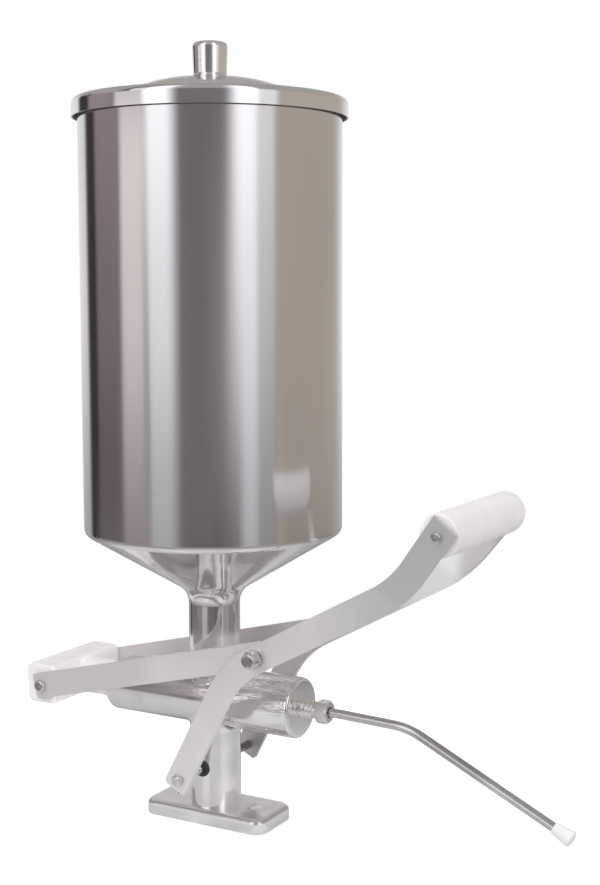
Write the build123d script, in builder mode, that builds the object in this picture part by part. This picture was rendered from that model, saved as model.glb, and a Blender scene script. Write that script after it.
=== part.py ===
from build123d import *

import math
import os

os.makedirs("parts", exist_ok=True)

# Frame: millimetres, +Z up along the hopper's axis, +X along the pump's axis towards the
# nozzle. The origin lies on the hopper's axis at the underside of the base plate.
NEAR = 1
FAR = -1
SIDES = (NEAR, FAR)

# Fits and gaps
running_fit = 0.05
seat_gap = 0.02
thread_gap = 0.05
face_gap = 0.1
edge_break = 0.4

# Base plate
base_length = 98.5
base_width = 45.4
base_thickness = 10.4
base_offset = 1.75
base_corner_radius = 9.0
base_edge_radius = 3.6
base_foot_radius = 0.8
mount_margin = 17.25
mount_hole_diameter = 6.5
base_screw_spacing = 20.0
base_screw_diameter = 6.0
base_screw_head_diameter = 12.0
base_screw_length = 24.0
base_screw_recess = 0.5
base_screw_socket = 4.0
base_screw_socket_depth = 2.2

# Pump body
pump_height = 88.0
barrel_wall = 7.75
barrel_front = 70.8
barrel_back = -82.2
barrel_end_wall = 11.5
barrel_edge_radius = 2.4
barrel_flat_height = 15.0
barrel_flat_length = 27.2
post_diameter = 36.0
neck_diameter = 36.0
neck_height = 66.0
cast_fillet = 3.5
feed_port_diameter = 18.0
neck_bore_diameter = 26.0
feed_port_length = 14.0
plug_angle = 44.0
plug_thread_diameter = 8.0
plug_head_diameter = 11.0
plug_head_height = 2.4
plug_spot_depth = 1.2
plug_edge_radius = 0.8
plug_slot_width = 1.4
plug_slot_depth = 1.0

# Lever fulcrum in the post
fulcrum = (0.0, 39.0)
axle_diameter = 6.0
bush_diameter = 12.0
bush_length = 13.0
bush_proud = 0.3
axle_proud = 1.0
cap_diameter = 8.4
cap_height = 3.0

# Lever plates: a flat bar with two bends in its plane and a third that spreads it at the grip
lever_width = 18.6
lever_thickness = 3.0
leg_angle = 62.5
leg_length = 91.9
leg_overhang = 7.6
leg_bend_radius = 68.0
leg_end_radius = 3.0
arm_angle = 28.4
arm_length = 142.1
arm_bend_radius = 85.0
grip_angle = 52.7
grip_reach = 48.0
grip_overhang = 9.4
grip_flare = 9.0
flare_lead = 8.0
flare_bend_radius = 30.0

# Grip between the lever plates
grip_diameter = 28.0
grip_edge_radius = 1.2
grip_screw_diameter = 4.0
grip_screw_length = 20.0
grip_screw_head_diameter = 7.0

# Pivot of the lever on the links
pivot_reach = 22.9
pivot_offset = 0.9
pivot_bolt_diameter = 6.0
pivot_head_diameter = 10.5
pivot_head_height = 3.2
pivot_socket = 4.0
pivot_socket_depth = 2.0
pivot_nut_across = 11.5
pivot_nut_height = 8.6
pivot_collar_height = 3.0
pivot_collar_diameter = 10.4
pivot_collar_radius = 1.2
pivot_mouth_gap = 0.6
pivot_mouth_depth = 1.0
pivot_bolt_proud = 0.4
pivot_washer_diameter = 13.0
pivot_washer_thickness = 1.2
spacer_diameter = 14.0
spacer_thickness = 2.9

# Links
link_width = 18.4
link_thickness = 3.0
link_end_overhang = 6.3
link_end_radius = 2.0
link_lift = 0.8
link_screw_diameter = 4.0
link_screw_length = 16.0
link_screw_head_diameter = 8.8
link_seat_shift = 2.2
link_seat_drop = 0.5

# Crosshead and plunger
rod_show = 30.8
crosshead_length = 76.8
crosshead_width = 26.0
crosshead_height = 28.6
crosshead_edge_radius = 4.5
crosshead_end_radius = 1.5
link_play = 4.2
pocket_end_gap = 1.0
plunger_diameter = 26.4
plunger_nose_chamfer = 1.0
spigot_diameter = 16.0
spigot_length = 14.0
plunger_screw_diameter = 8.0
plunger_screw_head_diameter = 13.0
plunger_screw_head_height = 8.0
plunger_screw_socket = 6.0
plunger_screw_socket_depth = 4.0
plunger_screw_bite = 21.0
plunger_screw_web = 3.0
seal_section = 3.0
seal_squeeze_gap = 0.3
seal_setback = 49.0
seal_pitch = 16.0

# Hopper
hopper_diameter = 180.0
shell_wall = 1.2
shell_height = 290.9
funnel_wall = 4.0
cone_slope = 0.6
collar_height = 9.5
throat_radius = 15.0
rim_height = 3.3
rim_radius = 5.6
upstand_height = 12.0
outlet_wall = 4.0
outlet_floor_gap = 8.0
ring_section = 1.8

# Lid
lid_gap = 2.9
lid_wall = 1.2
lid_skirt = 12.6
lid_flat = 22.8
lid_dome_height = 14.2
lid_dome_bulge = 3.75
knob_diameter = 24.4
knob_waist = 0.6
knob_height = 24.2
knob_crown_radius = 3.5
knob_foot_height = 3.0
knob_foot_flare = 0.3
knob_screw_diameter = 6.0
knob_screw_length = 15.0
knob_screw_head_diameter = 11.0
knob_washer_diameter = 16.0
knob_washer_thickness = 1.2

# Hexagon nuts
nut_end_share = 0.92
nut_chamfer_angle = 40.0

# Nozzle
nipple_thread_diameter = 10.0
nipple_collar_diameter = 11.0
nipple_collar_length = 13.0
nipple_nose_length = 3.6
nipple_bore_diameter = 4.6
nut_across = 14.6
nut_lip = 3.0
nut_mouth_gap = 0.7
ferrule_length = 2.4
tube_diameter = 6.35
tube_bore_diameter = 4.6
tube_lead = 12.5
tube_droop_angle = 2.0
tube_droop_radius = 80.0
tube_first_run = 51.6
tube_bend_radius = 50.0
tube_drop_angle = 25.8
tube_run = 121.0
tip_length = 14.0
tip_wall = 0.85
tip_flare = 1.7
tip_overlap = 8.0
tip_lip = 1.4

# Values that follow from the sizes above
mount_spacing = base_length - 2 * mount_margin
plunger_radius = plunger_diameter / 2
bore_radius = plunger_radius + running_fit
barrel_radius = bore_radius + barrel_wall
neck_top = pump_height + neck_height
neck_radius = neck_diameter / 2
neck_bore_floor = pump_height + plunger_radius + feed_port_length
plunger_front = feed_port_diameter / 2
crosshead_right = barrel_back - rod_show
crosshead_x = crosshead_right - crosshead_width / 2
crosshead_left = crosshead_right - crosshead_width
crosshead_pivot = (crosshead_x + link_seat_shift, pump_height - link_seat_drop)
link_inner = crosshead_length / 2 + face_gap
link_outer = link_inner + link_thickness
lever_inner = link_outer + face_gap + spacer_thickness
lever_outer = lever_inner + lever_thickness
lever_middle = lever_inner + lever_thickness / 2
grip_middle = lever_middle + grip_flare
hopper_radius = hopper_diameter / 2
shell_inner_radius = hopper_radius - shell_wall
cone_foot = neck_top + collar_height
shell_bottom = cone_foot + cone_slope * (hopper_radius - neck_radius) + rim_height
shell_top = shell_bottom + shell_height
lid_seat = shell_top + face_gap
lid_top = lid_seat + lid_wall + lid_dome_height
nut_start = barrel_front + nipple_collar_length
nut_length = nipple_nose_length + ferrule_length + nut_lip
nozzle_shoulder = nut_start + nipple_nose_length
tube_radius = tube_diameter / 2


def polar(start, length, angle):
    """The point at a length and an angle, in degrees, from a start point in the XZ plane."""
    turn = math.radians(angle)
    return (start[0] + length * math.cos(turn), start[1] + length * math.sin(turn))


leg_corner = polar(fulcrum, leg_length, leg_angle)
arm_corner = polar(leg_corner, arm_length, arm_angle)
grip_centre = polar(arm_corner, grip_reach, grip_angle)
leg_end = polar(fulcrum, -leg_overhang, leg_angle)
grip_end = polar(grip_centre, grip_overhang, grip_angle)
pivot = polar(polar(leg_corner, pivot_reach, arm_angle), pivot_offset, arm_angle + 90)
link_aim = (pivot[0], pivot[1] + link_lift)
link_rise = math.degrees(
    math.atan2(link_aim[1] - crosshead_pivot[1], link_aim[0] - crosshead_pivot[0])
)
grip_turn = math.radians(grip_angle)
grip_along = Vector(math.cos(grip_turn), 0, math.sin(grip_turn))
flare_slope = grip_flare / (flare_lead + grip_reach)
flare_turn = math.atan(flare_slope)


def outward(side, distance, centre):
    """A plane square to Y at a distance from the middle, facing away from the middle."""
    return Plane(
        origin=(centre[0], -side * distance, centre[1]),
        x_dir=(1, 0, 0),
        z_dir=(0, -side, 0),
    )


def grip_seat(side, rise):
    """A plane on a lever plate where the grip meets it, a rise outside the plate's middle."""
    out = Vector(0, -side, 0)
    middle = Vector(grip_centre[0], 0, grip_centre[1]) + out * grip_middle
    facing = out * math.cos(flare_turn) - grip_along * math.sin(flare_turn)
    along = grip_along * math.cos(flare_turn) + out * math.sin(flare_turn)
    return Plane(origin=middle + facing * rise, x_dir=along, z_dir=facing)


def turned(points, base, axis_direction):
    """A turned piece: points are (along, radius) from a base point along an axis."""
    along = Vector(axis_direction)
    across = Vector(0, 1, 0) if abs(along.Y) < 0.5 else Vector(1, 0, 0)
    plane = Plane(base, x_dir=along, z_dir=along.cross(across))
    with BuildPart() as piece:
        with BuildSketch(plane):
            with BuildLine():
                Polyline(*points, close=True)
            make_face()
        revolve(axis=Axis(base, along))
    return piece.part


def screw(seat, shank, length, head, head_height, socket, socket_depth):
    """A domed-head screw with a hexagon socket, its head on the seat and its shank behind it."""
    rise = Axis(seat.origin, seat.z_dir)
    with BuildPart() as piece:
        with BuildSketch(seat):
            Circle(head / 2)
        extrude(amount=head_height)
        fillet(piece.faces().sort_by(rise)[-1].edges(), head_height * 0.4)
        with BuildSketch(seat.offset(head_height)):
            RegularPolygon(socket / 2, 6, major_radius=False)
        extrude(amount=-socket_depth, mode=Mode.SUBTRACT)
        with BuildSketch(seat):
            Circle(shank / 2)
        extrude(amount=-length)
    return piece.part


def cross_screw(seat, shank, length, head):
    """A pan-head screw with a cross recess, its head on the seat and its shank behind it."""
    head_height = head * 0.36
    recess = head * 0.55
    rise = Axis(seat.origin, seat.z_dir)
    with BuildPart() as piece:
        with BuildSketch(seat):
            Circle(head / 2)
        extrude(amount=head_height)
        fillet(piece.faces().sort_by(rise)[-1].edges(), head_height * 0.45)
        with BuildSketch(seat.offset(head_height)):
            Rectangle(recess, recess / 4)
            Rectangle(recess / 4, recess)
        extrude(amount=-head_height / 2, mode=Mode.SUBTRACT)
        with BuildSketch(seat):
            Circle(shank / 2)
        extrude(amount=-length)
    return piece.part


def chamfered_hexagon(seat, across, height):
    """A hexagon bar on a seat plane, with the corners of both its ends turned off."""
    corner = across / math.sqrt(3)
    end = nut_end_share * across / 2
    drop = (corner - end) * math.tan(math.radians(nut_chamfer_angle))
    blank = [(0, 0), (0, end), (drop, corner), (height - drop, corner), (height, end), (height, 0)]
    round_blank = turned(blank, seat.origin, seat.z_dir)
    with BuildPart() as piece:
        with BuildSketch(seat):
            RegularPolygon(across / 2, 6, major_radius=False)
        extrude(amount=height)
        add(round_blank, mode=Mode.INTERSECT)
    return piece.part


def spread_strip(side):
    """The strip that a lever plate lies in: flat along the arm, then spread outward at the grip."""
    out = Vector(0, -side, 0)
    corner = (arm_corner[0], 0, arm_corner[1])
    far_end = leg_length + arm_length
    near_end = grip_reach + grip_diameter
    with BuildPart() as strip:
        with BuildSketch(Plane(corner, x_dir=grip_along, z_dir=grip_along.cross(out))):
            with BuildLine():
                FilletPolyline(
                    (-far_end, lever_middle),
                    (-flare_lead, lever_middle),
                    (near_end, lever_middle + flare_slope * (near_end + flare_lead)),
                    radius=flare_bend_radius,
                )
            trace(line_width=lever_thickness)
        extrude(amount=far_end, both=True)
    return strip.part


def lever_plate(side):
    """One lever plate: a bar bent twice in its own plane, then spread outward to the grip."""
    strip = spread_strip(side)
    with BuildPart() as plate:
        with BuildSketch(Plane.XZ) as outline:
            with BuildLine():
                points = [leg_end, leg_corner, arm_corner, grip_end]
                FilletPolyline(*points, radius=(leg_bend_radius, arm_bend_radius))
            trace(line_width=lever_width)
            fillet(outline.vertices().sort_by(Axis.Y)[:2], leg_end_radius)
        extrude(amount=side * 2 * lever_outer)
        add(strip, mode=Mode.INTERSECT)
        broad_faces = plate.faces().filter_by(lambda face: abs(face.normal_at().Y) > 0.5)
        narrow_faces = plate.faces() - broad_faces
        rims = broad_faces.edges() & narrow_faces.edges()
        chamfer(rims, edge_break)
        with BuildSketch(Plane.XZ):
            with Locations(fulcrum):
                Circle(axle_diameter / 2 + seat_gap)
            with Locations(pivot):
                Circle(pivot_bolt_diameter / 2 + seat_gap)
        extrude(amount=side * 2 * lever_outer, mode=Mode.SUBTRACT)
        with BuildSketch(grip_seat(side, lever_thickness)):
            Circle(grip_screw_diameter / 2 + seat_gap)
        extrude(amount=-2 * lever_thickness, mode=Mode.SUBTRACT)
    return plate.part


def link_bar(side):
    """One link: a straight bar, square at the crosshead and round at the lever's pivot."""
    length = math.dist(link_aim, crosshead_pivot)
    with BuildPart() as bar:
        with BuildSketch(Plane.XZ.offset(side * link_inner)) as outline:
            with Locations(Location((*crosshead_pivot, 0), (0, 0, link_rise))):
                with Locations((-link_end_overhang, 0)):
                    Rectangle(
                        length + link_end_overhang,
                        link_width,
                        align=(Align.MIN, Align.CENTER),
                    )
                with Locations((length, 0)):
                    Circle(link_width / 2)
            fillet(outline.vertices().sort_by(Axis.X)[:2], link_end_radius)
            with Locations(pivot):
                Circle(pivot_bolt_diameter / 2 + running_fit, mode=Mode.SUBTRACT)
            with Locations(crosshead_pivot):
                Circle(link_screw_diameter / 2 + seat_gap, mode=Mode.SUBTRACT)
        extrude(amount=side * link_thickness)
        rims = bar.faces().filter_by(Axis.Y)
        chamfer([face.outer_wire().edges() for face in rims], edge_break)
    return bar.part


# Base plate: two mounting holes through it, and two countersunk holes for the post's screws
with BuildPart() as base_plate:
    with BuildSketch():
        with Locations((base_offset, 0)):
            RectangleRounded(base_length, base_width, base_corner_radius)
    extrude(amount=base_thickness)
    fillet(base_plate.faces().sort_by(Axis.Z)[-1].edges(), base_edge_radius)
    fillet(base_plate.faces().sort_by(Axis.Z)[0].edges(), base_foot_radius)
    with Locations((base_offset, 0, base_thickness)):
        with GridLocations(mount_spacing, 0, 2, 1):
            Hole(mount_hole_diameter / 2)
    with Locations(Plane(origin=(0, 0, 0), z_dir=(0, 0, -1))):
        with GridLocations(0, base_screw_spacing, 1, 2):
            CounterSinkHole(
                base_screw_diameter / 2 + thread_gap,
                base_screw_head_diameter / 2 + base_screw_recess + thread_gap,
                counter_sink_angle=90,
            )
base_plate.part.label = "base_plate"
export_step(base_plate.part, "parts/base_plate.step")

head_radius = base_screw_head_diameter / 2
head_depth = head_radius - base_screw_diameter / 2
base_screw_profile = [
    (base_screw_recess, 0),
    (base_screw_recess, head_radius),
    (base_screw_recess + head_depth, base_screw_diameter / 2),
    (base_screw_length, base_screw_diameter / 2),
    (base_screw_length, 0),
]
base_screw_blanks = [
    turned(base_screw_profile, (0, side * base_screw_spacing / 2, 0), (0, 0, 1)) for side in SIDES
]
with BuildPart() as base_screws:
    add(base_screw_blanks)
    with BuildSketch(Plane.XY.offset(base_screw_recess)):
        with GridLocations(0, base_screw_spacing, 1, 2):
            RegularPolygon(base_screw_socket / 2, 6, major_radius=False)
    extrude(amount=base_screw_socket_depth, mode=Mode.SUBTRACT)
base_screws.part.label = "base_screws"
export_step(base_screws.part, "parts/base_screws.step")

# Pump body: post, barrel and neck cast in one piece, then bored
plug_direction = Vector(0, -math.cos(math.radians(plug_angle)), math.sin(math.radians(plug_angle)))
plug_seat = Plane(
    origin=Vector(0, 0, pump_height) + plug_direction * (barrel_radius - plug_spot_depth),
    x_dir=(1, 0, 0),
    z_dir=plug_direction,
)
with BuildPart() as pump_body:
    with BuildSketch(Plane.YZ.offset(barrel_back)):
        with Locations((0, pump_height)):
            Circle(barrel_radius)
    extrude(amount=barrel_front - barrel_back)
    with BuildSketch(Plane.XY.offset(base_thickness)):
        Circle(post_diameter / 2)
    extrude(amount=pump_height - base_thickness)
    with BuildSketch(Plane.XY.offset(pump_height)):
        Circle(neck_diameter / 2)
    extrude(amount=neck_top - pump_height)
    round_ends = pump_body.edges().filter_by(GeomType.CIRCLE)
    meeting_edges = pump_body.edges() - round_ends - pump_body.edges().filter_by(GeomType.LINE)
    fillet(meeting_edges, cast_fillet)
    barrel_ends = pump_body.faces().filter_by(GeomType.PLANE).filter_by(Axis.X)
    fillet([face.edges() for face in barrel_ends], barrel_edge_radius)
    # Flat milled along the top of the back end, where the links pass
    with BuildSketch(Plane.YZ.offset(barrel_back)):
        with Locations((0, pump_height + barrel_flat_height)):
            Rectangle(2 * barrel_radius, barrel_radius, align=(Align.CENTER, Align.MIN))
    extrude(amount=barrel_flat_length, mode=Mode.SUBTRACT)
    # Cylinder bore, open at the back, and the outlet hole through the front wall
    with BuildSketch(Plane.YZ.offset(barrel_back)):
        with Locations((0, pump_height)):
            Circle(bore_radius)
    extrude(amount=barrel_front - barrel_end_wall - barrel_back, mode=Mode.SUBTRACT)
    with BuildSketch(Plane.YZ.offset(barrel_front)):
        with Locations((0, pump_height)):
            Circle(nipple_thread_diameter / 2 + thread_gap)
    extrude(amount=-barrel_end_wall, mode=Mode.SUBTRACT)
    # Neck bore and the narrower feed port into the cylinder
    with BuildSketch(Plane.XY.offset(neck_top)):
        Circle(neck_bore_diameter / 2)
    extrude(amount=neck_bore_floor - neck_top, mode=Mode.SUBTRACT)
    with BuildSketch(Plane.XY.offset(neck_bore_floor)):
        Circle(feed_port_diameter / 2)
    extrude(amount=pump_height - neck_bore_floor, mode=Mode.SUBTRACT)
    # Cross bore for the axle's bushes, tapped holes for the base screws, spot face for the plug
    with BuildSketch(Plane.XZ):
        with Locations(fulcrum):
            Circle(bush_diameter / 2 + seat_gap)
    extrude(amount=post_diameter, both=True, mode=Mode.SUBTRACT)
    with BuildSketch(Plane.XY.offset(base_thickness)):
        with GridLocations(0, base_screw_spacing, 1, 2):
            Circle(base_screw_diameter / 2 + thread_gap)
    extrude(amount=base_screw_length + thread_gap - base_thickness, mode=Mode.SUBTRACT)
    with BuildSketch(plug_seat):
        Circle(plug_head_diameter / 2 + thread_gap)
    extrude(amount=barrel_radius, mode=Mode.SUBTRACT)
    with BuildSketch(plug_seat):
        Circle(plug_thread_diameter / 2 + thread_gap)
    extrude(amount=-barrel_radius + plug_spot_depth + bore_radius / 2, mode=Mode.SUBTRACT)
pump_body.part.label = "pump_body"
export_step(pump_body.part, "parts/pump_body.step")

# Slotted plug screwed into the barrel's side, its thread stopping short of the bore
plug_thread_length = barrel_radius - plug_spot_depth - bore_radius - face_gap
with BuildPart() as side_plug:
    with BuildSketch(plug_seat):
        Circle(plug_head_diameter / 2)
    extrude(amount=plug_head_height)
    top_face = side_plug.faces().sort_by(Axis(plug_seat.origin, plug_seat.z_dir))[-1]
    fillet(top_face.edges(), plug_edge_radius)
    with BuildSketch(plug_seat.offset(plug_head_height)):
        Rectangle(plug_head_diameter, plug_slot_width)
    extrude(amount=-plug_slot_depth, mode=Mode.SUBTRACT)
    with BuildSketch(plug_seat):
        Circle(plug_thread_diameter / 2)
    extrude(amount=-plug_thread_length)
side_plug.part.label = "side_plug"
export_step(side_plug.part, "parts/side_plug.step")

# Dark bushes pressed into both ends of the post's cross bore
bush_outer = post_diameter / 2 + bush_proud
with BuildPart() as axle_bushes:
    for side in SIDES:
        with BuildSketch(outward(side, bush_outer, fulcrum)):
            Circle(bush_diameter / 2)
            Circle(axle_diameter / 2 + running_fit, mode=Mode.SUBTRACT)
        extrude(amount=-bush_length)
axle_bushes.part.label = "axle_bushes"
export_step(axle_bushes.part, "parts/axle_bushes.step")

# Hopper funnel: a rim that carries the shell, a cone and a spigot that drops into the neck
cone_angle = math.atan(cone_slope)
cone_wall_rise = funnel_wall / math.cos(cone_angle)
outlet_radius = neck_bore_diameter / 2 - seat_gap
outlet_end = neck_bore_floor + outlet_floor_gap
funnel_bore = outlet_radius - outlet_wall
upstand_radius = shell_inner_radius - seat_gap
upstand_top = shell_bottom + upstand_height
upstand_inner = upstand_radius - funnel_wall
ring_radius = ring_section / 2
ring_groove = ring_radius + seat_gap
outlet_ring_height = (outlet_end + neck_top) / 2
shell_ring_height = shell_bottom + upstand_height / 2


def cone_height(radius):
    """Height of the cone's outside at a radius."""
    return cone_foot + cone_slope * (radius - neck_radius)


def ring_slot(radius, height):
    """Corner points of a square groove for a ring seal, cut into a wall from outside."""
    depth = radius - 2 * ring_groove
    return [
        (radius, height - ring_groove),
        (depth, height - ring_groove),
        (depth, height + ring_groove),
        (radius, height + ring_groove),
    ]


with BuildPart() as hopper_funnel:
    with BuildSketch(Plane.XZ) as wall:
        with BuildLine():
            Polyline(
                (funnel_bore, outlet_end),
                (outlet_radius, outlet_end),
                *ring_slot(outlet_radius, outlet_ring_height),
                (outlet_radius, neck_top),
                (neck_radius, neck_top),
                (neck_radius, cone_foot),
                (hopper_radius, cone_height(hopper_radius)),
                (hopper_radius, shell_bottom),
                (upstand_radius, shell_bottom),
                *ring_slot(upstand_radius, shell_ring_height),
                (upstand_radius, upstand_top),
                (upstand_inner, upstand_top),
                (upstand_inner, cone_height(upstand_inner) + cone_wall_rise),
                (funnel_bore, cone_height(funnel_bore) + cone_wall_rise),
                close=True,
            )
        make_face()
        throat = wall.vertices().sort_by_distance((neck_radius, cone_foot))[0]
        fillet(throat, throat_radius)
        rim = wall.vertices().sort_by_distance((hopper_radius, cone_height(hopper_radius)))[0]
        fillet(rim, rim_radius)
    revolve(axis=Axis.Z)
hopper_funnel.part.label = "hopper_funnel"
export_step(hopper_funnel.part, "parts/hopper_funnel.step")

with BuildPart() as funnel_seal:
    with Locations((0, 0, outlet_ring_height)):
        Torus(outlet_radius - ring_groove, ring_radius)
funnel_seal.part.label = "funnel_seal"
export_step(funnel_seal.part, "parts/funnel_seal.step")

with BuildPart() as shell_seal:
    with Locations((0, 0, shell_ring_height)):
        Torus(upstand_radius - ring_groove, ring_radius)
shell_seal.part.label = "shell_seal"
export_step(shell_seal.part, "parts/shell_seal.step")

# Hopper shell: a thin tube that stands on the funnel's rim
with BuildPart() as hopper_shell:
    with BuildSketch(Plane.XY.offset(shell_bottom)):
        Circle(hopper_radius)
        Circle(shell_inner_radius, mode=Mode.SUBTRACT)
    extrude(amount=shell_top - shell_bottom)
hopper_shell.part.label = "hopper_shell"
export_step(hopper_shell.part, "parts/hopper_shell.step")

# Lid: pressed sheet with a skirt, a flat ring that rests on the shell and a shallow dome
lid_radius = hopper_radius + lid_gap + lid_wall
lid_shoulder_radius = lid_gap + lid_wall - face_gap
flat_height = lid_seat + lid_wall
flat_inner = shell_inner_radius - lid_flat
foot_radius = knob_diameter / 2 + knob_foot_flare
knob_seat = (foot_radius, lid_top)
inner_shoulder = lid_shoulder_radius - lid_wall
screw_hole = knob_screw_diameter / 2 + thread_gap
with BuildPart() as lid:
    with BuildSketch(Plane.XZ):
        with BuildLine():
            Line((screw_hole, lid_top), knob_seat)
            SagittaArc(knob_seat, (flat_inner, flat_height), lid_dome_bulge)
            Line((flat_inner, flat_height), (lid_radius - lid_shoulder_radius, flat_height))
            RadiusArc(
                (lid_radius - lid_shoulder_radius, flat_height),
                (lid_radius, flat_height - lid_shoulder_radius),
                lid_shoulder_radius,
            )
            Line((lid_radius, flat_height - lid_shoulder_radius), (lid_radius, flat_height - lid_skirt))
            Line(
                (lid_radius, flat_height - lid_skirt),
                (lid_radius - lid_wall, flat_height - lid_skirt),
            )
            Line(
                (lid_radius - lid_wall, flat_height - lid_skirt),
                (lid_radius - lid_wall, flat_height - lid_shoulder_radius),
            )
            RadiusArc(
                (lid_radius - lid_wall, flat_height - lid_shoulder_radius),
                (lid_radius - lid_shoulder_radius, lid_seat),
                -inner_shoulder,
            )
            Line((lid_radius - lid_shoulder_radius, lid_seat), (flat_inner, lid_seat))
            SagittaArc(
                (flat_inner, lid_seat),
                (knob_seat[0], lid_top - lid_wall),
                -lid_dome_bulge,
            )
            Line((knob_seat[0], lid_top - lid_wall), (screw_hole, lid_top - lid_wall))
            Line((screw_hole, lid_top - lid_wall), (screw_hole, lid_top))
        make_face()
    revolve(axis=Axis.Z)
lid.part.label = "lid"
export_step(lid.part, "parts/lid.step")

# Knob: turned, slightly waisted, with a small foot and a crowned top
knob_radius = knob_diameter / 2
knob_end = lid_top + knob_height
foot_top = lid_top + knob_foot_height
screw_top = lid_top - lid_wall - knob_washer_thickness + knob_screw_length + thread_gap
with BuildPart() as lid_knob:
    with BuildSketch(Plane.XZ):
        with BuildLine():
            Line((screw_hole, lid_top), knob_seat)
            Line(knob_seat, (knob_radius - knob_waist, foot_top))
            Line((knob_radius - knob_waist, foot_top), (knob_radius, knob_end - knob_crown_radius))
            RadiusArc(
                (knob_radius, knob_end - knob_crown_radius),
                (knob_radius - knob_crown_radius, knob_end),
                -knob_crown_radius,
            )
            Line((knob_radius - knob_crown_radius, knob_end), (0, knob_end))
            Line((0, knob_end), (0, screw_top))
            Line((0, screw_top), (screw_hole, screw_top))
            Line((screw_hole, screw_top), (screw_hole, lid_top))
        make_face()
    revolve(axis=Axis.Z)
lid_knob.part.label = "lid_knob"
export_step(lid_knob.part, "parts/lid_knob.step")

with BuildPart() as knob_washer:
    with BuildSketch(Plane.XY.offset(lid_top - lid_wall)):
        Circle(knob_washer_diameter / 2)
        Circle(screw_hole, mode=Mode.SUBTRACT)
    extrude(amount=-knob_washer_thickness)
knob_washer.part.label = "knob_washer"
export_step(knob_washer.part, "parts/knob_washer.step")

knob_screw_seat = Plane(
    origin=(0, 0, lid_top - lid_wall - knob_washer_thickness),
    x_dir=(1, 0, 0),
    z_dir=(0, 0, -1),
)
knob_screw = cross_screw(
    knob_screw_seat,
    knob_screw_diameter,
    knob_screw_length,
    knob_screw_head_diameter,
)
knob_screw.label = "knob_screw"
export_step(knob_screw, "parts/knob_screw.step")

# Outlet nipple: threaded into the barrel's front wall, with a collar and a nose for the nut
nipple_start = barrel_front - barrel_end_wall
nipple_radius = nipple_thread_diameter / 2
nipple_bore = nipple_bore_diameter / 2
outlet_nipple = turned(
    [
        (nipple_start, nipple_bore),
        (nipple_start, nipple_radius),
        (barrel_front, nipple_radius),
        (barrel_front, nipple_collar_diameter / 2),
        (nut_start, nipple_collar_diameter / 2),
        (nut_start, nipple_radius),
        (nozzle_shoulder, nipple_radius),
        (nozzle_shoulder, nipple_bore),
    ],
    (0, 0, pump_height),
    (1, 0, 0),
)
outlet_nipple.label = "outlet_nipple"
export_step(outlet_nipple, "parts/outlet_nipple.step")

# Union nut: hexagon, threaded at the back, with a shoulder that presses the ferrule
nut_seat = Plane(origin=(nut_start, 0, pump_height), x_dir=(0, 1, 0), z_dir=(1, 0, 0))
nut_blank = chamfered_hexagon(nut_seat, nut_across, nut_length)
nut_shoulder = nipple_nose_length + ferrule_length
with BuildPart() as nozzle_nut:
    add(nut_blank)
    with BuildSketch(nut_seat):
        Circle(nipple_radius + thread_gap)
    extrude(amount=nut_shoulder, mode=Mode.SUBTRACT)
    with BuildSketch(nut_seat):
        Circle(tube_radius + nut_mouth_gap)
    extrude(amount=nut_length, mode=Mode.SUBTRACT)
nozzle_nut.part.label = "nozzle_nut"
export_step(nozzle_nut.part, "parts/nozzle_nut.step")

nozzle_ferrule = turned(
    [
        (nozzle_shoulder, tube_radius + seat_gap),
        (nozzle_shoulder, nipple_radius),
        (nozzle_shoulder + ferrule_length, nipple_radius),
        (nozzle_shoulder + ferrule_length, tube_radius + seat_gap),
    ],
    (0, 0, pump_height),
    (1, 0, 0),
)
nozzle_ferrule.label = "nozzle_ferrule"
export_step(nozzle_ferrule, "parts/nozzle_ferrule.step")

# Nozzle tube: straight out of the nut, a slight droop, one bend, then down to the tip
tube_start = (nozzle_shoulder, pump_height)
tube_droop = (nozzle_shoulder + tube_lead, pump_height)
tube_bend = polar(tube_droop, tube_first_run, -tube_droop_angle)
tube_end = polar(tube_bend, tube_run, -tube_drop_angle)
with BuildPart() as nozzle_tube:
    with BuildLine(Plane.XZ) as tube_path:
        FilletPolyline(
            tube_start,
            tube_droop,
            tube_bend,
            tube_end,
            radius=(tube_droop_radius, tube_bend_radius),
        )
    with BuildSketch(Plane(origin=(nozzle_shoulder, 0, pump_height), z_dir=(1, 0, 0))):
        Circle(tube_radius)
        Circle(tube_bore_diameter / 2, mode=Mode.SUBTRACT)
    sweep(path=tube_path.wires()[0])
nozzle_tube.part.label = "nozzle_tube"
export_step(nozzle_tube.part, "parts/nozzle_tube.step")

# White tip pushed over the tube's end, flared towards its mouth
tip_back = polar(tube_end, -tip_overlap, -tube_drop_angle)
tip_turn = math.radians(tube_drop_angle)
tip_back_radius = tube_radius + tip_wall
tip_front_radius = tip_back_radius + tip_flare
nozzle_tip = turned(
    [
        (0, tube_radius + seat_gap),
        (0, tip_back_radius - tip_wall / 2),
        (tip_lip / 2, tip_back_radius),
        (tip_length - tip_lip, tip_front_radius),
        (tip_length, tip_front_radius - tip_lip),
        (tip_length, tube_bore_diameter / 2),
        (tip_overlap, tube_bore_diameter / 2),
        (tip_overlap, tube_radius + seat_gap),
    ],
    (tip_back[0], 0, tip_back[1]),
    (math.cos(tip_turn), 0, -math.sin(tip_turn)),
)
nozzle_tip.label = "nozzle_tip"
export_step(nozzle_tip, "parts/nozzle_tip.step")

# Lever plates, links and the parts that join them
lever_plate_near = lever_plate(NEAR)
lever_plate_near.label = "lever_plate_near"
export_step(lever_plate_near, "parts/lever_plate_near.step")
lever_plate_far = lever_plate(FAR)
lever_plate_far.label = "lever_plate_far"
export_step(lever_plate_far, "parts/lever_plate_far.step")

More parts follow.
